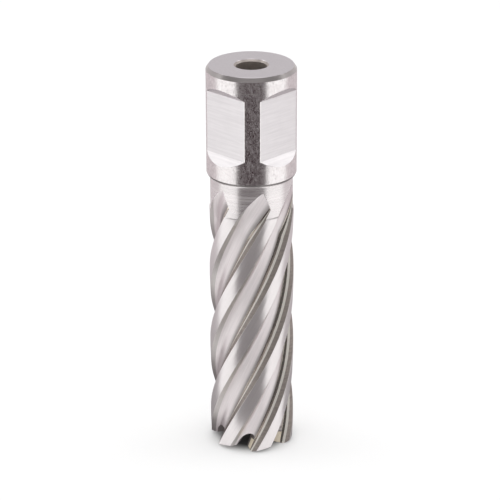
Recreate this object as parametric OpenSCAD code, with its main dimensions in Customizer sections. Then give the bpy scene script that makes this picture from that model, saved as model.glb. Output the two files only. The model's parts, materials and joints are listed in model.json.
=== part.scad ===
// Annular cutter: a hollow core drill with six helical teeth and a side-lock shank.
// Millimetres. The origin is the centre of the cutting end, +Z points up to the shank.
// +X points midway between the two clamp flats.

/* [Shank] */
// Diameter of the shank
shank_d = 19.05; // [18.8:0.05:20]
// Length of the shank above the shoulder
shank_len = 23.8; // [22:0.1:30]
// Radial size of the lead-in chamfer at the shank's end
nose_chamfer = 0.6; // [0.3:0.05:1]
// Axial length of the lead-in chamfer
nose_len = 0.9; // [0.5:0.05:1.5]
// Radial size of the chamfer on the lower edge of the shank
shoulder_chamfer = 0.22; // [0.1:0.01:0.4]
// Axial length of the chamfer on the lower edge of the shank
shoulder_len = 0.45; // [0.2:0.05:0.8]

/* [Clamp flats] */
// Angle between the two clamp flats
flat_angle = 90; // [80:1:120]
// Distance from the axis to each clamp flat
flat_offset = 7.8; // [7.3:0.05:8.5]
// Length of the clamp flat at full depth
flat_len = 13.2; // [10:0.1:14]
// Height of the flat's lower end above the shoulder
flat_rise = 5.5; // [3.5:0.1:5.9]
// Slope of the ramps at both ends of a flat, from the shank's axis
flat_ramp = 45; // [40:1:60]

/* [Body] */
// Cutting diameter
body_d = 18; // [17.6:0.05:18.2]
// Length from the cutting end to the shoulder
body_len = 62; // [58:0.5:70]
// Diameter of the neck above the ground lands
neck_d = 17.5; // [17.2:0.05:17.9]
// Distance from the shoulder down to the top of the ground lands
land_gap = 7.65; // [7:0.05:9]

/* [Bores] */
// Diameter of the pilot pin's bore
pilot_d = 6.5; // [5:0.05:8]
// Chamfer at the mouth of the pilot bore
pilot_chamfer = 0.45; // [0.1:0.05:0.6]
// Diameter of the slug hollow
hollow_d = 11; // [10:0.1:11.4]
// Depth of the slug hollow
hollow_depth = 52; // [40:0.5:55]
// Slope of the hollow's conical roof, from level
roof_angle = 31; // [20:1:45]

/* [Flutes] */
// Number of flutes and teeth
flute_count = 6; // [5:1:6]
// Axial length of one whole turn of the helix
helix_lead = 100; // [90:1:120]
// Depth of a flute
flute_depth = 1.8; // [1.5:0.05:1.9]
// Angle of the full-diameter margin behind the leading edge
margin_angle = 7.5; // [5:0.5:9]
// Angle from the leading edge to the heel of the land
land_angle = 19.2; // [17:0.1:21]
// Drop of the land's surface at its heel
land_relief = 0.12; // [0.05:0.01:0.2]
// Angle over which the heel falls to the flute's floor
heel_angle = 13; // [10:0.5:15]
// Angle from the flute's root to the leading edge
root_angle = 8.8; // [8:0.1:10]
// Angle from the lip on the rake wall to the leading edge
lip_angle = 5.8; // [5:0.1:6.5]
// Depth of the lip below the cutting diameter
lip_drop = 0.8; // [0.6:0.05:1]
// Direction of one leading edge at the cutting end, from midway between the clamp flats
edge_direction = 3.3; // [-60:0.1:60]

/* [Flute run-out] */
// Distance from the shoulder down to the tip of a flute's run-out
runout_gap = 1.75; // [1.5:0.05:4]
// Length over which a flute rises to the surface
runout_len = 8.2; // [7:0.1:10]
// Angle from the leading edge to the tip of the run-out
runout_tip = 35; // [33.5:0.5:38]
// Fall of the run-out for each degree from its tip towards the next leading edge
runout_skew = 0.155; // [0.1:0.005:0.2]
// Fall of the run-out from its tip back to the heel
runout_fall = 4.9; // [3:0.1:6]
// Angle by which the flute's root nears the leading edge at the end of the run-out
runout_spread = 6.8; // [5:0.1:7.5]

/* [Teeth] */
// Clearance angle behind the cutting edge
clearance_angle = 12; // [8:0.5:14]
// Diameter of the tooth's lowest point
apex_d = 16.4; // [14:0.1:17]
// Slope of the tooth's end outside its lowest point
outer_bevel = 18; // [10:1:25]
// Slope of the tooth's end inside its lowest point
inner_bevel = 9; // [5:1:12]
// Width of the gullet between two teeth
gullet_w = 2.6; // [2:0.1:2.8]
// Height of the gullet's arch above the cutting end
gullet_h = 3.85; // [3:0.05:5]
// Lean of the cutting face from the radius
rake_lean = 20; // [10:1:25]

/* [Hidden] */
$fn = 96;
shank_r = shank_d / 2;
body_r = body_d / 2;
neck_r = neck_d / 2;
pilot_r = pilot_d / 2;
hollow_r = hollow_d / 2;
apex_r = apex_d / 2;
total_len = body_len + shank_len;
shoulder_step = shank_r - neck_r;
neck_drop = body_r - neck_r;
land_top = body_len - land_gap;
fillet_r = shoulder_step - shoulder_chamfer;
roof_rise = (hollow_r - pilot_r) * tan(roof_angle);
pitch_angle = 360 / flute_count;
helix_angle = atan(2 * PI * apex_r / helix_lead);
overcut = 1;
fillet_steps = 6;

// Rings of the fluted body, along the helix and over the run-out
straight_rings = 26;
runout_rings = 8;
tip_z = body_len - runout_gap;
neck_z = tip_z + (runout_gap - fillet_r) / 3;
neck_top = tip_z + (runout_gap - fillet_r) * 2 / 3;
neck_ease = neck_drop / 12;
heel_end = land_angle + heel_angle;
root_at = pitch_angle - root_angle;
lip_at = pitch_angle - lip_angle;

// Angles of one pitch at which the section has a point, behind a leading edge
heel_steps = 6;
section_angles = concat(
    [0, margin_angle / 2, margin_angle, (margin_angle + land_angle) / 2, land_angle],
    [for (i = [1:heel_steps]) land_angle + heel_angle * i / heel_steps],
    [(heel_end + root_at) / 2, root_at, lip_at, (lip_at + pitch_angle) / 2]);

// Depth of the flute below the cutting radius: a heel that falls steeply and then flattens,
// a level floor, a steep wall up to the lip and a bevel from the lip to the leading edge
function flute_fall(a) =
    a <= land_angle ? 0 :
    a <= heel_end ? flute_depth * (1 - pow(max(0, heel_end - a) / heel_angle, 2.2)) :
    a <= root_at ? flute_depth :
    a <= lip_at ? flute_depth + (lip_drop - flute_depth) * (a - root_at) / (lip_at - root_at) :
    lip_drop * (pitch_angle - a) / lip_angle;
// Depth of the land's relief, from the end of the margin to the heel
function land_fall(a) =
    a <= margin_angle || a > land_angle ? 0 :
    land_relief * (a - margin_angle) / (land_angle - margin_angle);

// Depth of the neck's surface where a flute ends; the lands are turned down apart
function neck_fall(a) = a <= land_angle ? 0 : neck_drop;

// Mix of two values across the land, from the leading edge to the heel
function across_land(a, at_edge, at_heel) = at_edge + (at_heel - at_edge) * a / land_angle;
// Height at which a flute starts to rise, and at which it has reached the surface
function rise_start(a) =
    a < land_angle ? across_land(a, rise_start(pitch_angle), rise_start(land_angle)) :
    tip_z - runout_len - runout_skew * max(0, a - runout_tip);
function rise_end(a) =
    a < land_angle ? across_land(a, rise_end(pitch_angle), rise_end(land_angle)) :
    a < runout_tip ?
        tip_z - runout_fall * pow((runout_tip - a) / (runout_tip - land_angle), 1.7) :
    tip_z - runout_skew * (a - runout_tip);

// Angle at the end of the run-out of the section's point at angle a
function spread_angle(a) =
    a <= heel_end ? a :
    a <= root_at ? a + runout_spread * (a - heel_end) / (root_at - heel_end) :
    a + runout_spread * (pitch_angle - a) / root_angle;

// Point of the fluted body at angle a behind tooth k, height z and depth below the surface
function body_point(a, k, z, depth) =
    let (
        r = body_r - neck_ease - depth,
        turn = a + pitch_angle * k + edge_direction + 360 * z / helix_lead)
    [r * cos(turn), r * sin(turn), z];

// One ring: along = 0 to 1 up the helix, rise = 0 to 1 over the run-out
function body_ring(along, rise) =
    [for (k = [0:flute_count - 1]) for (a = section_angles)
        let (
            end_a = spread_angle(a),
            z = rise_start(a) * along + (rise_end(end_a) - rise_start(a)) * rise,
            depth = (flute_fall(a) + land_fall(a)) * (1 - rise) + neck_fall(a) * rise)
        body_point(a + (end_a - a) * rise, k, z, depth)];
function plain_ring(z) =
    [for (k = [0:flute_count - 1]) for (a = section_angles)
        body_point(spread_angle(a), k, z, neck_fall(a))];

// The body with its six helical flutes, up into the plain neck
module fluted_body() {
    rings = concat(
        [for (i = [0:straight_rings]) body_ring(i / straight_rings, 0)],
        [for (i = [1:runout_rings]) body_ring(1, i / runout_rings)],
        [plain_ring(neck_z), plain_ring(neck_top)]);
    ring_size = len(rings[0]);
    ring_count = len(rings);
    top = (ring_count - 1) * ring_size;
    foot_centre = ring_count * ring_size;
    head_centre = foot_centre + 1;
    points = concat(
        [for (ring = rings) each ring],
        [[0, 0, 0], [0, 0, neck_top]]);
    sides = [for (i = [0:ring_count - 2]) for (j = [0:ring_size - 1])
        let (k = (j + 1) % ring_size, low = i * ring_size, high = low + ring_size)
        each [[low + j, high + j, low + k], [low + k, high + j, high + k]]];
    ends = [for (j = [0:ring_size - 1])
        let (k = (j + 1) % ring_size)
        each [[foot_centre, j, k], [head_centre, top + k, top + j]]];
    difference() {
        polyhedron(points, concat(sides, ends), convexity = 8);
        neck_cut();
    }
}

// Ring turned off the lands above the ground part, down to the neck
module neck_cut() {
    translate([0, 0, land_top])
        rotate_extrude()
            translate([neck_r - neck_ease / 2, 0])
                square([neck_drop + overcut, land_gap]);
}

// The turned upper part: neck, shoulder with its fillet, shank and lead-in chamfer
module neck_and_shank() {
    rotate_extrude()
        polygon(concat(
            [[0, neck_z], [neck_r, neck_z]],
            [for (i = [0:fillet_steps])
                let (a = -90 * i / fillet_steps)
                [shank_r - shoulder_chamfer - fillet_r * cos(a),
                 body_len - fillet_r - fillet_r * sin(a)]],
            [[shank_r, body_len + shoulder_len],
             [shank_r, total_len - nose_len],
             [shank_r - nose_chamfer, total_len],
             [0, total_len]]));
}

// Slug hollow with its conical roof, and the pilot bore with its chamfered mouth
module bores() {
    rotate_extrude()
        polygon([
            [0, -overcut],
            [hollow_r, -overcut],
            [hollow_r, hollow_depth],
            [pilot_r, hollow_depth + roof_rise],
            [pilot_r, total_len - pilot_chamfer],
            [pilot_r + pilot_chamfer + overcut, total_len + overcut],
            [0, total_len + overcut]]);
}

// Cut for a clamp flat that faces +X, with a ramp at each end
module flat_cut() {
    reach = shank_r + overcut - flat_offset;
    ramp = reach / tan(flat_ramp);
    low = body_len + flat_rise;
    translate([0, shank_d, 0])
        rotate([90, 0, 0])
            linear_extrude(2 * shank_d)
                polygon([
                    [flat_offset, low],
                    [flat_offset + reach, low - ramp],
                    [flat_offset + reach, low + flat_len + ramp],
                    [flat_offset, low + flat_len]]);
}

// Clearance behind a cutting edge that lies along +X: two planes that meet at the apex
module tooth_clearance() {
    span = body_r;
    inside = hollow_r * 0.75;
    behind = body_r * 0.66;
    front = (apex_r - inside) * tan(rake_lean);
    for (bevel = [-outer_bevel, inner_bevel])
        intersection() {
            translate([apex_r, 0, 0])
                rotate([clearance_angle, bevel, 0])
                    translate([-span, -span, -span])
                        cube([2 * span, 2 * span, span]);
            translate([inside, -front, -overcut])
                cube([body_r, front + behind, 2 * overcut + gullet_h]);
        }
}

// Gullet in front of a cutting edge along +X: a leaning slot with an arched top
module gullet_cut() {
    arch_r = gullet_w / 2;
    slope_len = (gullet_h - arch_r) / cos(helix_angle);
    translate([apex_r, 0, 0])
        rotate([90, 0, 90 + rake_lean])
            translate([0, 0, -apex_r])
                linear_extrude(body_r + overcut)
                    rotate(-helix_angle)
                        translate([-arch_r, 0]) {
                            translate([-arch_r, -2 * overcut])
                                square([gullet_w, slope_len + 2 * overcut]);
                            translate([0, slope_len])
                                circle(r = arch_r);
                        }
}

// The whole cutter, ground from one piece
module annular_cutter() {
    color("#c9c5c6")
        difference() {
            union() {
                fluted_body();
                neck_and_shank();
            }
            bores();
            for (turn = [-flat_angle / 2, flat_angle / 2])
                rotate(turn)
                    flat_cut();
            for (i = [0:flute_count - 1])
                rotate(edge_direction - lip_angle + pitch_angle * i) {
                    tooth_clearance();
                    gullet_cut();
                }
        }
}

annular_cutter();
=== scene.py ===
"""Annular cutter in ground steel, standing on its teeth on a plain white studio floor."""

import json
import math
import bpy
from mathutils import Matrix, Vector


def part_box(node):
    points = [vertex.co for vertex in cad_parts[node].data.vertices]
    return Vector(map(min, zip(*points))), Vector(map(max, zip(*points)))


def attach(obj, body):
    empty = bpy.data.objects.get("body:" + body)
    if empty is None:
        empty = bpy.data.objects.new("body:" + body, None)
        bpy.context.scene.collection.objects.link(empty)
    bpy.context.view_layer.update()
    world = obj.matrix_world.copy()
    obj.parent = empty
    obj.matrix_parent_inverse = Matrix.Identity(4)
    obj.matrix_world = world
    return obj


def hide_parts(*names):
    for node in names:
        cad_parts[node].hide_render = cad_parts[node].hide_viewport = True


bl_info = {
    "name": "Annular cutter",
    "version": (1, 0, 0),
    "blender": (4, 5, 0),
    "location": "View3D > Sidebar > Cutter",
    "description": "Builds a fluted hollow cutter with a side-lock shank, and its studio",
    "category": "Add Mesh",
}

import bpy
import numpy as np
from mathutils import Matrix, Vector

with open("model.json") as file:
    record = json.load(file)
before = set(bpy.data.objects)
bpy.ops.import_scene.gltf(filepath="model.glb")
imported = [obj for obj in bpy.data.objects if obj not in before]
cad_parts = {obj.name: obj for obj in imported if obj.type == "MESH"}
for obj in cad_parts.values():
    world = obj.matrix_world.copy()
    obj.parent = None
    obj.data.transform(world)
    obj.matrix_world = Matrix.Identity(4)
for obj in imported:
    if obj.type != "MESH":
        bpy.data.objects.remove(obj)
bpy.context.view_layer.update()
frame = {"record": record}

NODE = "annular_cutter"
PHOTO_SIZE = 500
MM = 0.001
MOUNTS = {mount["name"]: mount for mount in frame["record"]["mounts"]}
TOTAL_LENGTH = float(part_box(NODE)[1][2])
SHANK_RADIUS = MOUNTS["shank"]["dims"]["r_mm"] * MM
PILOT_RADIUS = MOUNTS["pilot_bore"]["dims"]["r_mm"] * MM
FLAT_OFFSET = math.hypot(*MOUNTS["clamp_flat_right"]["pos_m"][:2])
FLAT_MIDDLE = MOUNTS["clamp_flat_right"]["pos_m"][2]
FLAT_TURN = math.atan2(
    MOUNTS["clamp_flat_right"]["axis"][1], MOUNTS["clamp_flat_right"]["axis"][0])

FINISHES = (
    "shank", "nose", "shoulder", "neck", "flat", "land", "floor", "heel", "bevel", "rake", "lip", "cutting",
    "tooth", "end", "bore")
MATH = "ShaderNodeMath"
VECTOR_MATH = "ShaderNodeVectorMath"
RANGE_SOCKETS = ("From Min", "From Max", "To Min", "To Max")


def length(name, default, description):
    """A size property in metres."""
    return bpy.props.FloatProperty(
        name=name, description=description, default=default, unit="LENGTH", precision=5)


def angle(name, degrees, description):
    """An angle property, given in degrees and kept in radians."""
    return bpy.props.FloatProperty(
        name=name, description=description, default=math.radians(degrees), subtype="ANGLE")


def tint(name, colour, description):
    """A linear colour property."""
    return bpy.props.FloatVectorProperty(
        name=name, description=description, default=colour, size=3, subtype="COLOR",
        min=0.0, max=1.0)


class CUTTER_PG_sizes(bpy.types.PropertyGroup):
    """Sizes of the cutter, measured up from the plane of the tooth tips."""

    body_length: length("Body length", 62 * MM, "Cutting end to shoulder")
    body_radius: length("Body radius", 9 * MM, "Cutting radius")
    neck_radius: length("Neck radius", 8.75 * MM, "Neck above the ground lands")
    nose_chamfer: length("Nose chamfer", 0.6 * MM, "Radial size of the shank's lead-in")
    nose_length: length("Nose length", 0.9 * MM, "Axial size of the shank's lead-in")
    shoulder_chamfer: length("Shoulder chamfer", 0.22 * MM, "Radial size of the lower edge's chamfer")
    shoulder_length: length("Shoulder length", 0.45 * MM, "Axial size of the lower edge's chamfer")
    flat_length: length("Flat length", 13.2 * MM, "Clamp flat at full depth")
    pilot_chamfer: length("Pilot chamfer", 0.45 * MM, "Chamfer at the pilot bore's mouth")
    hollow_radius: length("Hollow radius", 5.5 * MM, "Slug hollow")
    hollow_depth: length("Hollow depth", 52 * MM, "Slug hollow")
    roof_rise: length("Roof rise", 1.352 * MM, "Height of the hollow's conical roof")
    teeth: bpy.props.IntProperty(
        name="Teeth", description="Number of teeth and flutes", default=6, min=3)
    lead: length("Lead", 100 * MM, "Axial length of one turn of the helix")
    edge_direction: angle("Edge direction", 3.3, "One leading edge at the cutting end")
    flute_depth: length("Flute depth", 1.8 * MM, "Floor below the cutting radius")
    margin: angle("Margin", 7.5, "Full-diameter margin behind a leading edge")
    land: angle("Land", 19.2, "Leading edge to heel")
    land_relief: length("Land relief", 0.12 * MM, "Drop of the land at its heel")
    heel: angle("Heel", 13, "Angle over which the heel falls to the floor")
    root: angle("Root", 8.8, "Root of the flute to the next leading edge")
    lip: angle("Lip", 5.8, "Lip of the rake wall to the next leading edge")
    lip_drop: length("Lip drop", 0.8 * MM, "Lip below the cutting radius")
    runout_gap: length("Run-out gap", 1.75 * MM, "Tip of the run-out below the shoulder")
    runout_length: length("Run-out length", 8.2 * MM, "Rise of a flute to the surface")
    runout_tip: angle("Run-out tip", 35, "Tip of the run-out behind a leading edge")
    runout_skew: length("Run-out skew", 8.88 * MM, "Fall of the run-out for each radian")
    runout_fall: length("Run-out fall", 4.9 * MM, "Fall of the run-out at the heel")
    runout_spread: angle("Run-out spread", 6.8, "Root's way to the leading edge over the run-out")
    ground_height: length("Ground height", 54.35 * MM, "Top of the ground lands")
    apex_radius: length("Apex radius", 8.2 * MM, "Lowest point of a tooth")
    clearance: angle("Clearance", 12, "Slope behind a cutting edge")
    outer_bevel: angle("Outer bevel", 18, "Slope of a tooth outside its lowest point")
    inner_bevel: angle("Inner bevel", 9, "Slope of a tooth inside its lowest point")
    gullet_start: angle("Gullet start", 26, "Gullet behind a leading edge")
    gullet_side: length("Gullet side", 2 * MM, "Height of the gullet's straight sides")
    gullet_top: length("Gullet top", 3.85 * MM, "Height of the gullet's arch")
    rake_lean: angle("Rake lean", 8, "Turn of the cutting face from the flute's root to the hollow")


class CUTTER_PG_finish(bpy.types.PropertyGroup):
    """Colours of the ground steel, some with painted shade and one with a painted highlight."""

    steel: tint("Steel", (0.915, 0.87, 0.868), "Ground and turned surfaces")
    flat: tint("Flat", (0.87, 0.84, 0.85), "Milled clamp flats")
    end: tint("End", (0.90, 0.86, 0.885), "Faced end of the shank")
    floor: tint("Floor", (0.945, 0.88, 0.885), "Flute floors")
    nose: tint("Nose", (0.68, 0.64, 0.63), "Lead-in of the shank")
    # Painted shade: the shoulder's dark tint is the dark band under the shank's lower edge
    shoulder: tint("Shoulder", (0.30, 0.28, 0.275), "Chamfer on the shank's lower edge")
    heel: tint("Heel", (0.70, 0.665, 0.65), "Heel walls of the flutes")
    # Partly the milled finish and partly painted shade: the bevels' dark tint also stands for the dark
    # walls on the cutter's right
    bevel: tint("Bevel", (0.44, 0.385, 0.355), "Milled bevels in front of the leading edges")
    rake: tint("Rake", (0.86, 0.79, 0.70), "Rake walls of the flutes")
    # Painted highlight: the lips' bright tint is the thin bright line along each rake wall
    lip: tint("Lip", (0.98, 0.94, 0.87), "Lips of the rake walls")
    cutting: tint("Cutting", (0.99, 0.88, 0.70), "Warm tint of the cutting faces")
    tooth: tint("Tooth", (0.40, 0.37, 0.36), "Gullets and tooth ends")
    # Painted shade: the bores' dark tint stands for the shade inside the hollow
    bore: tint("Bore", (0.60, 0.545, 0.51), "Bores")
    # Painted shade: the dark brown that a flute's floor fades to at its root, over the width and with the
    # strength below
    root: tint("Root", (0.05, 0.033, 0.028), "Brown shade in the roots of the flutes")
    root_shade_width: angle("Root width", 9.5, "Part of a flute's floor that darkens towards the root")
    root_shade_strength: bpy.props.FloatProperty(
        name="Root strength", description="Share of the brown shade at the root", default=0.7)


class CUTTER_PG_studio(bpy.types.PropertyGroup):
    """Camera and light."""

    azimuth: angle("Azimuth", 88.9, "Camera direction, from -Y towards +X")
    elevation: angle("Elevation", 22.5, "Camera height above level")
    distance: length("Distance", 520 * MM, "Camera to target")
    target_height: length("Target height", 44.1 * MM, "Height that the camera looks at")
    side_step: length("Side step", -0.353 * MM, "Camera's step to its right")
    roll: angle("Roll", -0.13, "Camera's turn about its view")
    focal_pixels: bpy.props.FloatProperty(
        name="Focal length", description="Focal length in pixels of the photo", default=2430.0)


def spread(start, stop, count):
    """count even values from start up to, but not at, stop."""
    return start + (stop - start) * (np.arange(count) / count)


def smooth(t):
    """Ease from 0 to 1: 3 t^2 - 2 t^3."""
    return t * t * (3 - 2 * t)


def soft_min(a, b, width):
    """The smaller of two arrays, with the corner between them rounded over width.

    With s = 1/2 + (b - a) / (2 width), kept in 0 to 1, it is b + (a - b) s - width s (1 - s).
    """
    share = np.clip(0.5 + (b - a) / (2 * width), 0.0, 1.0)
    return b + (a - b) * share - width * share * (1.0 - share)


class Flutes:
    """The section of the fluted body as functions of the angle behind a leading edge.

    All angles are radians behind the leading edge, from 0 to one pitch.
    """

    # Half of the narrow rounding at an edge
    NICK = math.radians(0.2)
    # Part of the floor that has the rake wall's finish, and share of the wall up to the lip's finish
    RAKE_LEAD = math.radians(1.2)
    RAKE_SHARE = 0.55
    # Fullness of the heel's curve and of the run-out's rounded side
    HEEL_POWER = 2.2
    RUNOUT_POWER = 1.7
    # Rounding between the floor and the rake wall
    ROOT_ROUNDING = 0.4 * MM
    # Columns on each part of a pitch
    MARGIN_COLUMNS = 5
    LAND_COLUMNS = 7
    HEEL_COLUMNS = 8
    GULLET_COLUMNS = 19
    BEVEL_COLUMNS = 5

    def __init__(self, size):
        self.size = size
        self.pitch = 2 * math.pi / size.teeth
        self.heel_end = size.land + size.heel
        self.root_at = self.pitch - size.root
        self.lip_at = self.pitch - size.lip
        self.rake_start = self.root_at - self.RAKE_LEAD
        self.rake_split = self.root_at + self.RAKE_SHARE * (self.lip_at - self.root_at)
        self.tip_z = size.body_length - size.runout_gap

    def columns(self):
        """Angles of one pitch, crowded at the edges so that each has a narrow rounding."""
        size = self.size
        nick = self.NICK
        gullet_end = self.root_at - nick
        arch = (1 - np.cos(np.linspace(0, math.pi, self.GULLET_COLUMNS))) / 2
        runs = [
            spread(nick, size.margin - nick, self.MARGIN_COLUMNS),
            [size.margin - nick],
            spread(size.margin + nick, size.land - nick, self.LAND_COLUMNS),
            [size.land - nick],
            spread(size.land + nick, size.gullet_start - nick, self.HEEL_COLUMNS),
            [size.gullet_start - nick],
            size.gullet_start + (gullet_end - size.gullet_start) * arch,
            [self.root_at + nick, self.rake_split, self.lip_at - nick, self.lip_at + nick],
            spread(self.lip_at + 2 * nick, self.pitch - nick, self.BEVEL_COLUMNS),
            [self.pitch - nick],
        ]
        return np.concatenate([np.asarray(run, float) for run in runs])

    def fall(self, a):
        """Flute depth: a heel as a power curve, a level floor, and a wall in two slopes.

        The heel is depth (1 - left^power), with left the share of the heel still ahead.
        """
        size = self.size
        left = np.clip((self.heel_end - a) / size.heel, 0.0, 1.0)
        heel = size.flute_depth * (1.0 - left ** self.HEEL_POWER)
        steep = (size.flute_depth - size.lip_drop) / (self.lip_at - self.root_at)
        wall = np.interp(
            a, [0.0, self.lip_at, self.pitch],
            [size.flute_depth + steep * self.root_at, size.lip_drop, 0.0])
        fall = soft_min(heel, wall, self.ROOT_ROUNDING)
        return np.where(a <= size.land, 0.0, fall)

    def relief(self, a):
        """Drop of the land behind its margin, growing evenly to the heel."""
        size = self.size
        share = (a - size.margin) / (size.land - size.margin)
        return np.where(a < self.heel_end, size.land_relief * np.clip(share, 0.0, 1.0), 0.0)

    def across_land(self, a, flute, at_edge, at_heel):
        """Straight line over the land from at_edge to at_heel, and flute elsewhere."""
        share = a / self.size.land
        return np.where(share < 1.0, at_edge + (at_heel - at_edge) * share, flute)

    def widened(self, a):
        """Angle at the end of the run-out, where the floor has spread towards the leading edge."""
        size = self.size
        places = [0.0, self.heel_end, self.root_at, self.pitch]
        return np.interp(a, places, [0.0, self.heel_end, self.root_at + size.runout_spread, self.pitch])

    def rise_start(self, a):
        """Height at which the floor starts to rise, lower towards the rake wall."""
        size = self.size
        top = self.tip_z - size.runout_length
        flute = top - size.runout_skew * np.maximum(0.0, a - size.runout_tip)
        at_edge = top - size.runout_skew * (self.pitch - size.runout_tip)
        return self.across_land(a, flute, at_edge, top)

    def rise_end(self, a):
        """Height at which the floor meets the surface: rounded to the heel, straight to the rake."""
        size = self.size
        back = np.clip((size.runout_tip - a) / (size.runout_tip - size.land), 0.0, 1.0)
        ahead = np.maximum(0.0, a - size.runout_tip)
        flute = self.tip_z - size.runout_fall * back ** self.RUNOUT_POWER - size.runout_skew * ahead
        at_edge = self.tip_z - size.runout_skew * (self.pitch - size.runout_tip)
        return self.across_land(a, flute, at_edge, self.tip_z - size.runout_fall)

    def in_gullet(self, a):
        """True where the lower end of the wall is a gullet."""
        return (a >= self.size.gullet_start) & (a <= self.root_at)

    def end_height(self, a, radius):
        """Lower end of the wall at a radius: a tooth with clearance and bevels, or a gullet."""
        size = self.size
        behind = np.where(a > self.root_at, a - self.pitch, a) + size.lip
        tooth = np.tan(size.clearance) * radius * np.sin(behind)
        tooth = tooth + np.where(
            radius > size.apex_radius,
            (radius - size.apex_radius) * math.tan(size.outer_bevel),
            (size.apex_radius - radius) * math.tan(size.inner_bevel))
        middle = (size.gullet_start + self.root_at) / 2
        half = (self.root_at - size.gullet_start) / 2
        across = np.clip((a - middle) / half, -1.0, 1.0)
        arch = size.gullet_side + (size.gullet_top - size.gullet_side) * np.sqrt(1 - across ** 2)
        return np.where(self.in_gullet(a), arch, np.maximum(tooth, 0.0))

    def lean(self, a, radius):
        """Turn of a column inside the flutes' roots, so that the cutting faces lean.

        It is full at the root and fades out to the gullets' starts on either side.
        """
        size = self.size
        root_radius = size.body_radius - size.flute_depth
        depth = np.clip((root_radius - radius) / (root_radius - size.hollow_radius), 0.0, 1.0)
        behind = np.where(a > self.root_at, a, a + self.pitch)
        next_start = self.pitch + size.gullet_start
        tooth = (next_start - behind) / (next_start - self.root_at)
        gullet = (a - size.gullet_start) / (self.root_at - size.gullet_start)
        return -size.rake_lean * depth * np.where(self.in_gullet(a), gullet, tooth)


class Shank:
    """The shank's columns and radius: a cylinder with two clamp flats and their ramps."""

    # Half-angle of a flat where its ramp runs out
    NARROW = math.radians(0.5)
    # Share of a flat's half-angle that its outermost columns stay within
    EDGE_SHARE = 0.988
    # One column in so many lies on the strip between the flats
    STRIP_PART = 18
    # Rows on a ramp, a plain band and the straight part of a flat
    RAMP_ROWS = 16
    BAND_ROWS = 17
    STRAIGHT_ROWS = 12
    # A flat cuts only within this angle of its middle
    REACH = math.radians(60)

    def __init__(self, size):
        self.size = size
        self.radius = SHANK_RADIUS
        self.low = FLAT_MIDDLE - size.flat_length / 2
        self.high = FLAT_MIDDLE + size.flat_length / 2
        self.wide = math.acos(FLAT_OFFSET / self.radius)
        self.ramp = self.radius * math.cos(self.NARROW) - FLAT_OFFSET
        self.directions = (-FLAT_TURN, FLAT_TURN)

    def shares(self, count):
        """Columns on each flat, on the strip between the flats and round the back."""
        flat_count = int(round(count * self.wide / math.pi))
        strip_count = count // self.STRIP_PART
        return flat_count, strip_count, count - 2 * flat_count - strip_count

    def angles(self, half, count):
        """Column angles at one height, for flats that subtend half to either side.

        From the left flat's start: flat, strip, flat, round back, in shares of count.
        """
        flat_count, strip_count, back_count = self.shares(count)
        across = half * self.EDGE_SHARE * np.linspace(-1, 1, flat_count)
        gap = half * (2 - self.EDGE_SHARE)
        strip = np.linspace(gap - FLAT_TURN, FLAT_TURN - gap, strip_count)
        back = np.linspace(FLAT_TURN + gap, 2 * math.pi - FLAT_TURN - gap, back_count)
        return np.concatenate([across - FLAT_TURN, strip, across + FLAT_TURN, back])

    def flat_mask(self, count):
        """True for the columns whose faces lie on a clamp flat."""
        flat_count, strip_count, _ = self.shares(count)
        mask = np.zeros(count, bool)
        mask[:flat_count - 1] = True
        start = flat_count + strip_count
        mask[start:start + flat_count - 1] = True
        return mask

    def rows(self):
        """Heights and flat half-angles, from the shoulder to the nose.

        On the ramps the angle runs evenly, and the height follows the slanted plane.
        """
        size = self.size
        turns = np.linspace(self.NARROW, self.wide, self.RAMP_ROWS)
        ramp_rise = self.radius * np.cos(turns) - FLAT_OFFSET
        foot = size.body_length + size.shoulder_length
        top = TOTAL_LENGTH - size.nose_length
        band_low = np.linspace(foot, self.low - self.ramp, self.BAND_ROWS)[:-1]
        band_high = np.linspace(self.high + self.ramp, top, self.BAND_ROWS)[1:]
        straight = np.linspace(self.low, self.high, self.STRAIGHT_ROWS)[1:-1]
        closing = np.linspace(self.wide, self.NARROW, self.BAND_ROWS)
        heights = np.concatenate([
            band_low, self.low - ramp_rise, straight,
            (self.high + ramp_rise)[::-1], band_high])
        halves = np.concatenate([
            closing[:-1], turns, np.full(len(straight), self.wide),
            turns[::-1], closing[::-1][1:]])
        return heights, halves

    def surface(self, turn, z):
        """Radius at a direction and height: the nearer of the cylinder and the two flats."""
        past = np.maximum(0.0, np.maximum(self.low - z, z - self.high))
        radius = np.full(np.broadcast(turn, z).shape, self.radius)
        for direction in self.directions:
            facing = np.cos(turn - direction)
            near = facing > math.cos(self.REACH)
            plane = (FLAT_OFFSET + past) / np.where(near, facing, 1.0)
            radius = np.minimum(radius, np.where(near, plane, self.radius))
        return radius


# Share of the heel wall with the heel's finish, and part of the bevel with the lip's
HEEL_SHARE = 0.32
LIP_WIDTH = math.radians(0.5)
# Angle below which two places in a pitch count as one
SAME_ANGLE = math.radians(0.1)
# Flute depth below which a column counts as land, and half-height of the step to the neck
SHALLOW = 0.3 * MM
STEP = 0.12 * MM
# Shares of the run-out's rows below and above that step
STEP_LOW = 0.47
STEP_HIGH = 0.53
# Height from which the rows lie level over the teeth
LEVEL = 6 * MM
# Rows on each part of the skin
FOOT_ROWS = 12
BODY_ROWS = 64
RUNOUT_ROWS = 9
NECK_ROWS = 16
FILLET_ROWS = 7
END_ROWS = 14
PILOT_ROWS = 12
HOLLOW_ROWS = 70
# Neck below the fillet where columns are matched, and gap under the fillet's first row
MATCH_DROP = 0.3 * MM
FILLET_GAP = 0.05 * MM
# Rounding at the edges of the shank's end
END_NICK = 0.04 * MM
# Heights closer than this are the same
SAME_HEIGHT = 0.001 * MM
# How late the inner wall leans over towards the cutting faces
LEAN_POWER = 8
# Tooth end rows between the hollow and the lowest point, and its least gap to the outside
TOOTH_SHARES = (0.35, 0.7, 1.0)
APEX_GAP = 0.1 * MM
# Edges sharper than this aren't smoothed
SHARP_ANGLE = math.radians(18)


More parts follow.
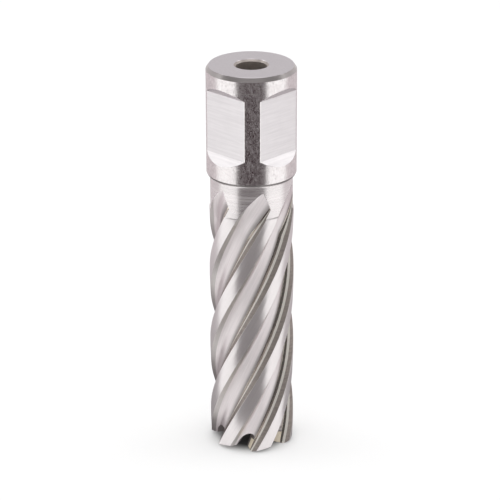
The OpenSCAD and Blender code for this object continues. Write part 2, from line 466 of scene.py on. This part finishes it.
def cutter_grid(size):
    """The whole skin as rows of (radius, turn, height) and one finish for each row of faces.

    The rows run from a tooth's outer edge up the outside, over the shank's end, down the
    pilot bore and the hollow and across the tooth ends back to the start. Columns follow
    the helix, and settle on the clamp flats' edges above the neck. On the lands, two rows of
    the run-out lie just below and just above the step to the neck.
    """
    flutes = Flutes(size)
    shank = Shank(size)
    pitch_columns = flutes.columns()
    tooth = np.repeat(np.arange(size.teeth), len(pitch_columns))
    a = np.tile(pitch_columns, size.teeth)
    count = len(a)
    column = a + tooth * flutes.pitch + size.edge_direction
    twist = 2 * math.pi / size.lead

    fall = flutes.fall(a)
    relief = flutes.relief(a)
    start = flutes.rise_start(a)
    spread_a = flutes.widened(a)
    end = flutes.rise_end(spread_a)
    foot_radius = size.body_radius - np.maximum(fall, relief)
    foot = flutes.end_height(a, foot_radius)

    code = {name: index for index, name in enumerate(FINISHES)}
    following = np.append(pitch_columns[1:], flutes.pitch + pitch_columns[0])
    middle = np.tile((pitch_columns + following) / 2, size.teeth)
    bounds = [
        size.land, size.land + HEEL_SHARE * size.heel, flutes.rake_start, flutes.rake_split,
        flutes.lip_at + LIP_WIDTH, flutes.pitch - SAME_ANGLE]
    names = ("land", "heel", "floor", "rake", "lip", "bevel", "land")
    body_finish = np.array([code[name] for name in names])[np.searchsorted(bounds, middle)]

    radii = []
    turns = []
    heights = []
    finishes = []

    def add(radius, turn, z, finish):
        shape = (count,)
        radii.append(np.broadcast_to(radius, shape))
        turns.append(np.broadcast_to(turn, shape))
        heights.append(np.broadcast_to(z, shape))
        finishes.append(np.broadcast_to(finish, shape))

    neck_drop = size.body_radius - size.neck_radius

    def outer(z, rise):
        turned_off = np.clip((z - size.ground_height + STEP) / (2 * STEP), 0.0, 1.0)
        surface = relief + (neck_drop - relief) * turned_off
        flute = np.where(fall > 0, fall * (1 - rise) + neck_drop * rise, 0.0)
        return size.body_radius - np.maximum(surface, flute)

    def climb(t):
        even = start + (end - start) * t
        below = size.ground_height - STEP
        above = size.ground_height + STEP
        if t <= STEP_LOW:
            stepped = start + (below - start) * t / STEP_LOW
        else:
            stepped = above + (end - above) * (t - STEP_HIGH) / (1 - STEP_HIGH)
        return np.where(fall < SHALLOW, stepped, even)

    for low, high, rows in ((foot, LEVEL, FOOT_ROWS), (LEVEL, start, BODY_ROWS)):
        for t in np.linspace(0, 1, rows)[:-1]:
            z = low + (high - low) * t
            add(outer(z, 0.0), column + twist * z, z, body_finish)
    low_rows = np.linspace(0, STEP_LOW, RUNOUT_ROWS)
    for t in np.concatenate([low_rows, np.linspace(STEP_HIGH, 1, RUNOUT_ROWS)]):
        z = climb(t)
        finish = code["neck"] if t == 1.0 else body_finish
        add(outer(z, t), column + (spread_a - a) * t + twist * z, z, finish)

    fillet = SHANK_RADIUS - size.neck_radius - size.shoulder_chamfer
    neck = size.body_length - fillet
    neck_turn = column + twist * (neck - MATCH_DROP)
    shank_wide = shank.angles(shank.wide, count)
    shift = np.round((neck_turn.mean() - shank_wide.mean()) / (2 * math.pi / count))
    order = (np.arange(count) + int(shift)) % count
    turns_over = (np.arange(count) + int(shift)) // count

    def shank_turn(half):
        return shank.angles(half, count)[order] + 2 * math.pi * turns_over

    wide_turn = shank_turn(shank.wide)
    for t in np.linspace(0, 1, NECK_ROWS)[1:]:
        z = end + (neck - FILLET_GAP - end) * t
        turn = column + spread_a - a + twist * z
        add(size.neck_radius, turn + (wide_turn - turn) * smooth(t), z, code["neck"])
    for bend in np.linspace(0, math.pi / 2, FILLET_ROWS):
        finish = code["neck"] if bend < math.pi / 2 else code["shoulder"]
        add(size.neck_radius + fillet * (1 - math.cos(bend)), wide_turn,
            neck + fillet * math.sin(bend), finish)

    flat_columns = shank.flat_mask(count)[order]
    shank_heights, shank_halves = shank.rows()
    low_ramp = shank.low - shank.ramp
    high_ramp = shank.high + shank.ramp
    for z, half in zip(shank_heights, shank_halves):
        turn = shank_turn(half)
        cut = low_ramp - SAME_HEIGHT <= z < high_ramp - SAME_HEIGHT
        finish = np.where(flat_columns & cut, code["flat"], code["shank"])
        if z == shank_heights[-1]:
            finish = code["nose"]
        add(shank.surface(turn, z), turn, z, finish)

    faced = code["end"]
    bore = code["bore"]
    top_radius = SHANK_RADIUS - size.nose_chamfer
    mouth = PILOT_RADIUS + size.pilot_chamfer
    nose_slope = size.nose_length / size.nose_chamfer
    add(top_radius + END_NICK, wide_turn, TOTAL_LENGTH - END_NICK * nose_slope, faced)
    for radius in np.linspace(top_radius - END_NICK, mouth + END_NICK, END_ROWS):
        add(radius, wide_turn, TOTAL_LENGTH, faced)
    add(mouth - END_NICK, wide_turn, TOTAL_LENGTH - 2 * END_NICK, bore)
    roof = size.hollow_depth + size.roof_rise
    for z in np.linspace(TOTAL_LENGTH - size.pilot_chamfer, roof, PILOT_ROWS):
        add(PILOT_RADIUS, wide_turn, z, bore)
    add(size.hollow_radius, wide_turn, size.hollow_depth, bore)

    inner_foot = flutes.end_height(a, size.hollow_radius)
    fixed_turn = wide_turn - twist * size.hollow_depth
    for t in np.linspace(0, 1, HOLLOW_ROWS)[1:]:
        z = size.hollow_depth + (inner_foot - size.hollow_depth) * t
        foot_turn = column + flutes.lean(a, size.hollow_radius) * t ** LEAN_POWER
        turn = fixed_turn + (foot_turn - fixed_turn) * smooth(min(2 * t, 1)) + twist * z
        add(size.hollow_radius, turn, z, bore)

    at_root = np.abs(middle - flutes.root_at) < SAME_ANGLE
    tooth_finish = np.where(at_root, code["cutting"], code["tooth"])
    finishes[-1] = np.full(count, code["tooth"])
    apex = np.minimum(size.apex_radius, foot_radius - APEX_GAP)
    for share in TOOTH_SHARES:
        radius = size.hollow_radius + (apex - size.hollow_radius) * share
        z = flutes.end_height(a, radius)
        add(radius, column + flutes.lean(a, radius) + twist * z, z, tooth_finish)
    arrays = [np.array(rows) for rows in (radii, turns, heights, finishes)]
    return (*arrays, column * size.body_radius)


def grid_quads(rows, columns, rows_close):
    """Corner numbers of the quads of a grid whose columns close, and whose rows may."""
    row = np.arange(rows if rows_close else rows - 1)[:, None]
    col = np.arange(columns)[None, :]
    above = (row + 1) % rows
    beside = (col + 1) % columns
    return np.stack([
        row * columns + col, row * columns + beside,
        above * columns + beside, above * columns + col], axis=-1).reshape(-1, 4)


def skin_mesh(name, radii, turns, heights, finishes, across):
    """A closed mesh from rows that join on in both directions, with a UV map.

    Points are (radius cos turn, radius sin turn, height). The UV map "grain" holds metres
    across the helix and metres of height.
    """
    points = np.stack(
        [radii * np.cos(turns), radii * np.sin(turns), heights], axis=-1).reshape(-1, 3)
    quads = grid_quads(*radii.shape, rows_close=True)

    mesh = bpy.data.meshes.new(name)
    mesh.vertices.add(len(points))
    mesh.vertices.foreach_set("co", points.ravel())
    mesh.loops.add(quads.size)
    mesh.loops.foreach_set("vertex_index", quads.ravel().astype(np.int32))
    mesh.polygons.add(len(quads))
    mesh.polygons.foreach_set("loop_start", np.arange(0, quads.size, 4, dtype=np.int32))
    mesh.polygons.foreach_set("material_index", finishes.ravel().astype(np.int32))
    mesh.update(calc_edges=True)

    ends = np.append(across, 2 * across[-1] - across[-2])
    left = np.broadcast_to(ends[:-1], radii.shape)
    right = np.broadcast_to(ends[1:], radii.shape)
    u = np.stack([left, right, right, left], axis=-1).ravel()
    grain = np.stack([u, heights.ravel()[quads.ravel()]], axis=-1)
    uv = mesh.uv_layers.new(name="grain")
    uv.data.foreach_set("uv", grain.ravel())
    mesh.validate()
    mesh.shade_smooth()
    mesh.set_sharp_from_angle(angle=SHARP_ANGLE)
    return mesh


def new_material(name):
    """A node material and its Principled shader."""
    material = bpy.data.materials.new(name)
    material.use_nodes = True
    return material, material.node_tree.nodes["Principled BSDF"]


def feed(tree, source, socket):
    """Link an output to a socket, or set the socket to a plain value."""
    if isinstance(source, bpy.types.NodeSocket):
        tree.links.new(source, socket)
    else:
        socket.default_value = source


def work_out(tree, kind, operation, *values):
    """A Math or Vector Math node on outputs or plain values, and its output."""
    node = tree.nodes.new(kind)
    node.operation = operation
    for value, socket in zip(values, [item for item in node.inputs if item.enabled]):
        feed(tree, value, socket)
    return next(item for item in node.outputs if item.enabled)


def drive(tree, socket, output):
    """Link an output to a socket of the tree's Principled shader."""
    tree.links.new(output, tree.nodes["Principled BSDF"].inputs[socket])


def object_place(tree):
    """The Object coordinates."""
    return tree.nodes.new("ShaderNodeTexCoord").outputs["Object"]


def map_range(tree, value, limits, eased=True):
    """A Map Range node over limits (from min, from max, to min, to max), and its result."""
    node = tree.nodes.new("ShaderNodeMapRange")
    if eased:
        node.interpolation_type = "SMOOTHSTEP"
    tree.links.new(value, node.inputs["Value"])
    for socket, limit in zip(RANGE_SOCKETS, limits):
        node.inputs[socket].default_value = limit
    return node.outputs["Result"]


def mix(tree, kind, factor, first, second):
    """A Mix node for FLOAT or RGBA values, and its result."""
    node = tree.nodes.new("ShaderNodeMix")
    node.data_type = kind
    for socket, value in (("Factor", factor), ("A", first), ("B", second)):
        feed(tree, value, node.inputs[socket])
    return node.outputs["Result"]


def grind_group():
    """Shared effect: fine grinding lines along one direction, and a cloudy tone.

    Inputs are the coordinate, the colour, the line scale along each axis, the strengths of
    the lines and the clouds, and the roughness. Outputs are the varied colour, the varied
    roughness and the lines as a height for a Bump node.
    """
    group = bpy.data.node_groups.new("Grinding lines", "ShaderNodeTree")
    sides = {
        "INPUT": {
            "Vector": "Vector", "Colour": "Color", "Stretch": "Vector",
            "Line tone": "Float", "Cloud tone": "Float", "Roughness": "Float"},
        "OUTPUT": {"Colour": "Color", "Roughness": "Float", "Height": "Float"},
    }
    for side, sockets in sides.items():
        for label, kind in sockets.items():
            group.interface.new_socket(name=label, in_out=side, socket_type="NodeSocket" + kind)
    source = group.nodes.new("NodeGroupInput").outputs
    result = group.nodes.new("NodeGroupOutput").inputs

    def noise(vector, scale, detail, roughness):
        node = group.nodes.new("ShaderNodeTexNoise")
        for label, value in (
                ("Vector", vector), ("Scale", scale), ("Detail", detail), ("Roughness", roughness)):
            feed(group, value, node.inputs[label])
        return node.outputs["Fac"]

    def centred(pattern, strength):
        shifted = work_out(group, MATH, "SUBTRACT", pattern, 0.5)
        return work_out(group, MATH, "MULTIPLY", shifted, source[strength])

    stretched = work_out(group, VECTOR_MATH, "MULTIPLY", source["Vector"], source["Stretch"])
    lines = noise(stretched, 1.0, 3.0, 0.6)
    clouds = noise(source["Vector"], 450.0, 4.0, 0.5)
    tone = work_out(group, MATH, "ADD", centred(lines, "Line tone"), centred(clouds, "Cloud tone"))
    gain = work_out(group, MATH, "ADD", tone, 1.0)
    loss = work_out(group, MATH, "SUBTRACT", 1.0, tone)
    colour = work_out(group, VECTOR_MATH, "SCALE", source["Colour"], gain)
    roughness = work_out(group, MATH, "MULTIPLY", source["Roughness"], loss)
    for label, value in (("Colour", colour), ("Roughness", roughness), ("Height", lines)):
        group.links.new(value, result[label])
    return group


def ground_finish(name, group, colour, coordinates, stretch, lines, clouds, roughness, bump, metallic):
    """A steel finish whose grinding lines follow Object coordinates or the grain map.

    The lines are bump hundredths of a millimetre deep.
    """
    material, shader = new_material(name)
    shader.inputs["Metallic"].default_value = metallic
    tree = material.node_tree
    if coordinates == "grain":
        source = tree.nodes.new("ShaderNodeUVMap")
        source.uv_map = "grain"
        vector = source.outputs["UV"]
    else:
        vector = object_place(tree)
    effect = tree.nodes.new("ShaderNodeGroup")
    effect.node_tree = group
    for label, value in (
            ("Vector", vector), ("Colour", (*colour, 1.0)), ("Stretch", stretch),
            ("Line tone", lines), ("Cloud tone", clouds), ("Roughness", roughness)):
        feed(tree, value, effect.inputs[label])
    height = tree.nodes.new("ShaderNodeBump")
    height.inputs["Strength"].default_value = 1.0
    height.inputs["Distance"].default_value = bump * 0.01 * MM
    tree.links.new(effect.outputs["Height"], height.inputs["Height"])
    drive(tree, "Base Color", effect.outputs["Colour"])
    drive(tree, "Roughness", effect.outputs["Roughness"])
    drive(tree, "Normal", height.outputs["Normal"])
    return material


def speckled_metal(material, high, low):
    """Let the light grains of a finish scatter light: metallic low on a grain and high beside it."""
    tree = material.node_tree
    grain_range = (0.35, 0.65)
    height = tree.nodes["Group"].outputs["Height"]
    shine = map_range(tree, height, (*grain_range, high, low), eased=False)
    drive(tree, "Metallic", shine)


def edge_metal(material, low):
    """Let a satin finish mirror more where it is seen at a slant: metallic from low to 1."""
    tree = material.node_tree
    slant_range = (0.25, 0.6)
    slant = tree.nodes.new("ShaderNodeLayerWeight")
    slant.inputs["Blend"].default_value = 0.5
    shine = map_range(tree, slant.outputs["Facing"], (*slant_range, low, 1.0))
    drive(tree, "Metallic", shine)


def root_shade(material, finish, size):
    """Paint shade on a flute's floor, darker towards its root.

    The place in the flute is the grain map's first value, wrapped to one pitch.
    """
    flutes = Flutes(size)
    radius = size.body_radius
    first = size.edge_direction * radius
    root = first + flutes.root_at * radius
    tree = material.node_tree
    apart = tree.nodes.new("ShaderNodeSeparateXYZ")
    tree.links.new(tree.nodes["UV Map"].outputs["UV"], apart.inputs["Vector"])
    place = work_out(tree, MATH, "WRAP", apart.outputs["X"], first + flutes.pitch * radius, first)
    limits = (root - finish.root_shade_width * radius, root, 0.0, finish.root_shade_strength)
    shade = map_range(tree, place, limits)
    plain = tree.nodes["Group"].outputs["Colour"]
    colour = mix(tree, "RGBA", shade, plain, (*finish.root, 1.0))
    drive(tree, "Base Color", colour)


def cutter_finishes(finish, size):
    """The finishes of the cutter in the order of FINISHES.

    A row of the table holds the colour, the coordinates, the line scale along each axis, the
    strengths of the lines and the clouds, the roughness, the bump and the metallic value.
    """
    group = grind_group()
    around = (40.0, 40.0, 2600.0)
    milled = (120.0, 120.0, 2800.0)
    fine = (3000.0, 3000.0, 1500.0)
    along_helix = (3500.0, 120.0, 1.0)
    across_helix = (700.0, 2800.0, 1.0)
    table = {
        "shank": (finish.steel, "object", fine, 0.85, 0.06, 0.24, 0.40, 1.0),
        "nose": (finish.nose, "object", around, 0.10, 0.06, 0.28, 0.20, 1.0),
        "shoulder": (finish.shoulder, "object", around, 0.20, 0.10, 0.40, 0.30, 0.7),
        "neck": (finish.steel, "object", around, 0.30, 0.06, 0.25, 0.30, 0.8),
        "flat": (finish.flat, "object", milled, 0.24, 0.06, 0.33, 0.60, 1.0),
        "land": (finish.steel, "grain", along_helix, 0.14, 0.06, 0.30, 0.20, 0.73),
        "floor": (finish.floor, "grain", along_helix, 0.36, 0.06, 0.50, 0.40, 0.2),
        "heel": (finish.heel, "grain", along_helix, 0.20, 0.08, 0.42, 0.40, 0.7),
        "bevel": (finish.bevel, "grain", across_helix, 1.00, 0.10, 0.38, 0.50, 0.6),
        "rake": (finish.rake, "grain", along_helix, 0.20, 0.08, 0.20, 0.30, 1.0),
        "lip": (finish.lip, "grain", along_helix, 0.20, 0.08, 0.30, 0.20, 0.4),
        "cutting": (finish.cutting, "object", fine, 0.30, 0.10, 0.30, 0.20, 0.0),
        "tooth": (finish.tooth, "object", fine, 0.30, 0.10, 0.30, 0.30, 0.9),
        "end": (finish.end, "object", fine, 0.16, 0.06, 0.30, 0.20, 1.0),
        "bore": (finish.bore, "object", around, 0.20, 0.10, 0.40, 0.30, 0.85),
    }
    finishes = {
        name: ground_finish(name + " steel", group, tuple(colour), *settings)
        for name, (colour, *settings) in table.items()}
    for name, low in (("shank", 0.82), ("neck", 0.66)):
        speckled_metal(finishes[name], table[name][-1], low)
    for name in ("floor", "heel", "bevel"):
        edge_metal(finishes[name], table[name][-1])
    root_shade(finishes["floor"], finish, size)
    return [finishes[name] for name in FINISHES]


class CUTTER_OT_build(bpy.types.Operator):
    """Build the cutter as one closed skin in place of the plain solid"""

    bl_idname = "cutter.build"
    bl_label = "Build cutter"

    def execute(self, context):
        size = context.scene.cutter_sizes
        finishes = cutter_finishes(context.scene.cutter_finish, size)
        mesh = skin_mesh("cutter_skin", *cutter_grid(size))
        for material in finishes:
            mesh.materials.append(material)
        skin = bpy.data.objects.new("cutter_skin", mesh)
        context.scene.collection.objects.link(skin)
        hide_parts(NODE)
        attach(skin, "root")
        return {"FINISHED"}


def camera_axes(studio):
    """The camera's direction from the target, its right and its up."""
    level = Vector((math.sin(studio.azimuth), -math.cos(studio.azimuth), 0.0))
    rise = Vector((0.0, 0.0, 1.0))
    back = level * math.cos(studio.elevation) + rise * math.sin(studio.elevation)
    right = rise.cross(back).normalized()
    return back, right, back.cross(right)


def place_camera(context, studio):
    """The photo's view: a long lens, a little above the cutter."""
    back, right, up = camera_axes(studio)
    target = Vector((0.0, 0.0, studio.target_height)) + right * studio.side_step
    sensor = 36.0
    data = bpy.data.cameras.new("camera")
    data.sensor_width = sensor
    data.lens = sensor * studio.focal_pixels / PHOTO_SIZE
    data.clip_start = 0.01
    data.clip_end = 20.0
    camera = bpy.data.objects.new("camera", data)
    turn = Matrix.Rotation(studio.roll, 3, back)
    axes = Matrix((turn @ right, turn @ up, back)).transposed()
    camera.matrix_world = Matrix.Translation(target + back * studio.distance) @ axes.to_4x4()
    context.scene.collection.objects.link(camera)
    context.scene.camera = camera


def area_lamp(context, name, place, target, side, power):
    """A square soft lamp that faces target."""
    data = bpy.data.lights.new(name, "AREA")
    data.shape = "RECTANGLE"
    data.size = side
    data.size_y = side
    data.energy = power
    lamp = bpy.data.objects.new(name, data)
    facing = (place - target).to_track_quat("Z", "Y")
    lamp.matrix_world = Matrix.Translation(place) @ facing.to_matrix().to_4x4()
    context.scene.collection.objects.link(lamp)
    return lamp


def stage_piece(context, name, points, faces, material):
    """A piece of the stage from its points and faces."""
    mesh = bpy.data.meshes.new(name)
    mesh.from_pydata(points, [], faces)
    mesh.materials.append(material)
    piece = bpy.data.objects.new(name, mesh)
    context.scene.collection.objects.link(piece)
    return piece


def stage_plane(context, name, corners, material):
    """A flat stage piece with four corners."""
    return stage_piece(context, name, [tuple(corner) for corner in corners], [(0, 1, 2, 3)], material)


def plain_paint(name, colour, roughness):
    """A plain matt paint for the stage."""
    material, shader = new_material(name)
    shader.inputs["Base Color"].default_value = (*colour, 1.0)
    shader.inputs["Roughness"].default_value = roughness
    shader.inputs["Specular IOR Level"].default_value = 0.0
    return material


def seen_rays(tree):
    """1 on rays from the camera and in reflections, and 0 on other rays."""
    path = tree.nodes.new("ShaderNodeLightPath").outputs
    return work_out(tree, MATH, "MAXIMUM", path["Is Camera Ray"], path["Is Glossy Ray"])


def white_world(context):
    """A world that is white to the camera and in reflections, and soft grey as a light."""
    light = 0.85
    world = bpy.data.worlds.new("studio")
    context.scene.world = world
    world.use_nodes = True
    tree = world.node_tree
    background = tree.nodes["Background"]
    background.inputs["Color"].default_value = (1.0, 1.0, 1.0, 1.0)
    strength = work_out(tree, MATH, "MULTIPLY_ADD", seen_rays(tree), 1.0 - light, light)
    tree.links.new(strength, background.inputs["Strength"])


def floor_paint():
    """White floor paint that keeps a shadow, with painted shade right under the cutter.

    Away from the cutter, a part of its white is its own glow, which fades near the cutter as a painted
    contact shadow.
    """
    white = 0.70
    own = 0.3
    under_shade_share = 0.25
    under = 5 * MM
    under_shade_fade = 3 * MM
    glow_shadow_fade = 6 * MM
    material = plain_paint("floor paint", (white, white, white), 0.9)
    tree = material.node_tree
    tree.nodes["Principled BSDF"].inputs["Emission Color"].default_value = (1.0, 1.0, 1.0, 1.0)
    place = object_place(tree)
    distance = work_out(tree, VECTOR_MATH, "LENGTH", place)
    # Painted shade: the floor's colour darkens right under the cutter
    limits = (under, under + under_shade_fade, under_shade_share * white, white)
    drive(tree, "Base Color", map_range(tree, distance, limits, eased=False))
    # Painted contact shadow: the floor's own glow fades out near the cutter
    fade = map_range(tree, distance, (under, under + glow_shadow_fade, 0.0, own))
    glow = work_out(tree, MATH, "MULTIPLY", seen_rays(tree), fade)
    drive(tree, "Emission Strength", glow)
    return material


def glow_paint(name, colour):
    """A paint of plain glow, for cards that only reflections see."""
    material = plain_paint(name, (0.0, 0.0, 0.0), 1.0)
    shader = material.node_tree.nodes["Principled BSDF"]
    shader.inputs["Emission Color"].default_value = (*colour, 1.0)
    shader.inputs["Emission Strength"].default_value = 1.0
    return material


def only_reflected(card):
    """Hide a stage card from all but glossy rays."""
    card.visible_camera = False
    card.visible_diffuse = False
    card.visible_shadow = False


# How far a card lies above the floor, and how far it reaches from the cutter
CARD_LIFT = Vector((0.0, 0.0, 0.2 * MM))
CARD_REACH = 600 * MM


def floor_card(context, name, forward, right, near, half_angle, colour):
    """A wedge just above the floor that opens in the direction forward; only reflections see it, as a
    painted reflection.
    """
    slope = math.tan(half_angle)
    places = ((near, -1), (CARD_REACH, -1), (CARD_REACH, 1), (near, 1))
    corners = [forward * out + right * side * out * slope + CARD_LIFT for out, side in places]
    only_reflected(stage_plane(context, name, corners, glow_paint(name + " paint", colour)))


def rear_shade(context, forward, right):
    """The half of the floor behind the cutter as reflections see it.

    It is grey, darker near the cutter, and white at its two ends beside the cutter.
    """
    front = 6 * MM
    grey_limits = (10 * MM, 150 * MM, 0.15, 0.58)
    white_until = math.radians(4)
    grey_from = math.radians(14)
    material = glow_paint("rear paint", (1.0, 1.0, 1.0))
    near = CARD_LIFT - forward * front
    side = right * CARD_REACH
    out = forward * CARD_REACH
    card = stage_plane(
        context, "rear_shade", [near + side, near + side + out, near - side + out, near - side], material)
    only_reflected(card)
    tree = material.node_tree
    place = object_place(tree)
    distance = work_out(tree, VECTOR_MATH, "LENGTH", place)
    grey = map_range(tree, distance, grey_limits, eased=False)
    shifted = work_out(tree, VECTOR_MATH, "ADD", place, forward * front)
    heading = work_out(tree, VECTOR_MATH, "NORMALIZE", shifted)
    facing = work_out(tree, VECTOR_MATH, "DOT_PRODUCT", heading, forward)
    share = map_range(tree, facing, (math.sin(white_until), math.sin(grey_from), 0.0, 1.0))
    colour = mix(tree, "RGBA", share, (1.0, 1.0, 1.0, 1.0), (1.0, 0.91, 0.94, 1.0))
    drive(tree, "Emission Color", colour)
    drive(tree, "Emission Strength", mix(tree, "FLOAT", share, 1.0, grey))


def reflector(context, name, place, target, half, glow):
    """A square bright card at place that faces target, seen in reflections alone."""
    facing = (target - place).normalized()
    side = facing.cross(Vector((0.0, 0.0, 1.0))).normalized() * half
    up = side.cross(facing).normalized() * half
    corners = [place - side - up, place + side - up, place + side + up, place - side + up]
    only_reflected(stage_plane(context, name, corners, glow_paint(name + " paint", (glow, glow, glow))))


def room_dome(context, level):
    """A dim room in reflections: a dome that is dark on the camera's side, grey behind and overhead.

    Points are the radius times (cos e cos a, cos e sin a, sin e) over azimuth and elevation.
    """
    radius = 1.5
    rear_glow = 0.62
    front_glow = 0.08
    overhead_glow = 0.3
    columns = 48
    rows = 14
    top = math.radians(89)
    azimuth, rise = np.meshgrid(spread(0, 2 * math.pi, columns), np.linspace(0, top, rows))
    points = radius * np.stack([
        np.cos(rise) * np.cos(azimuth), np.cos(rise) * np.sin(azimuth), np.sin(rise)], axis=-1)
    inward = grid_quads(rows, columns, rows_close=False)[:, ::-1]
    material = glow_paint("room paint", (1.0, 0.97, 0.98))
    tree = material.node_tree
    place = object_place(tree)
    facing = work_out(tree, VECTOR_MATH, "DOT_PRODUCT", place, level)
    shade = map_range(tree, facing, (-0.8 * radius, 0.5 * radius, rear_glow, front_glow))
    upright = tree.nodes.new("ShaderNodeSeparateXYZ")
    tree.links.new(place, upright.inputs["Vector"])
    overhead = map_range(tree, upright.outputs["Z"], (0.4 * radius, 0.75 * radius, 0.0, 1.0))
    drive(tree, "Emission Strength", mix(tree, "FLOAT", overhead, shade, overhead_glow))
    only_reflected(
        stage_piece(context, "room_dome", points.reshape(-1, 3).tolist(), inward.tolist(), material))


class CUTTER_OT_stage(bpy.types.Operator):
    """Set up the white floor, the soft lamps and the camera"""

    bl_idname = "cutter.stage"
    bl_label = "Set up studio"

    def execute(self, context):
        studio = context.scene.cutter_studio
        context.scene.view_settings.view_transform = "Standard"
        place_camera(context, studio)
        white_world(context)
        back, right, _ = camera_axes(studio)
        level = Vector((back.x, back.y, 0.0)).normalized()
        target = Vector((0.0, 0.0, 0.04))
        reach = 3.0
        stage_plane(context, "floor", [
            (-reach, -reach, 0), (reach, -reach, 0), (reach, reach, 0), (-reach, reach, 0)],
            floor_paint())

        def around(sideways, ahead, height):
            return right * sideways + level * ahead + Vector((0.0, 0.0, height))

        # Painted reflection: the dark card gives the dark strip down the middle of the cutter
        floor_card(context, "dark_card", level, right, 18 * MM, math.radians(38), (0.045, 0.028, 0.032))
        rear_shade(context, -level, right)
        room_dome(context, level)
        for side, name in ((-1, "left"), (1, "right")):
            lamp = area_lamp(
                context, name + " lamp", around(side * 0.47, -0.13, 0.46), target, side=0.4, power=0.5)
            lamp.visible_glossy = False
            reflector(
                context, name + "_card", around(side * 0.365, -0.098, 0.4), target, half=0.09, glow=1.7)
        area_lamp(context, "top lamp", around(0.0, 0.1, 0.9), target, side=0.7, power=1.0)
        return {"FINISHED"}


class CUTTER_PT_panel(bpy.types.Panel):
    """Lists the cutter's operators and settings"""

    bl_label = "Annular cutter"
    bl_idname = "CUTTER_PT_panel"
    bl_space_type = "VIEW_3D"
    bl_region_type = "UI"
    bl_category = "Cutter"

    def draw(self, context):
        column = self.layout.column()
        column.operator(CUTTER_OT_build.bl_idname)
        column.operator(CUTTER_OT_stage.bl_idname)
        for group in ("cutter_sizes", "cutter_finish", "cutter_studio"):
            settings = getattr(context.scene, group)
            box = column.box()
            for name in settings.__annotations__:
                box.prop(settings, name)


CLASSES = (
    CUTTER_PG_sizes,
    CUTTER_PG_finish,
    CUTTER_PG_studio,
    CUTTER_OT_build,
    CUTTER_OT_stage,
    CUTTER_PT_panel,
)


def register():
    """Add the classes, and the settings to the scene."""
    for cls in CLASSES:
        bpy.utils.register_class(cls)
    scene = bpy.types.Scene
    scene.cutter_sizes = bpy.props.PointerProperty(type=CUTTER_PG_sizes)
    scene.cutter_finish = bpy.props.PointerProperty(type=CUTTER_PG_finish)
    scene.cutter_studio = bpy.props.PointerProperty(type=CUTTER_PG_studio)


def unregister():
    """Remove the settings and the classes."""
    scene = bpy.types.Scene
    del scene.cutter_studio
    del scene.cutter_finish
    del scene.cutter_sizes
    for cls in reversed(CLASSES):
        bpy.utils.unregister_class(cls)


def main():
    """Build the cutter and its studio."""
    register()
    bpy.ops.cutter.stage()
    bpy.ops.cutter.build()


if __name__ == "__main__":
    main()
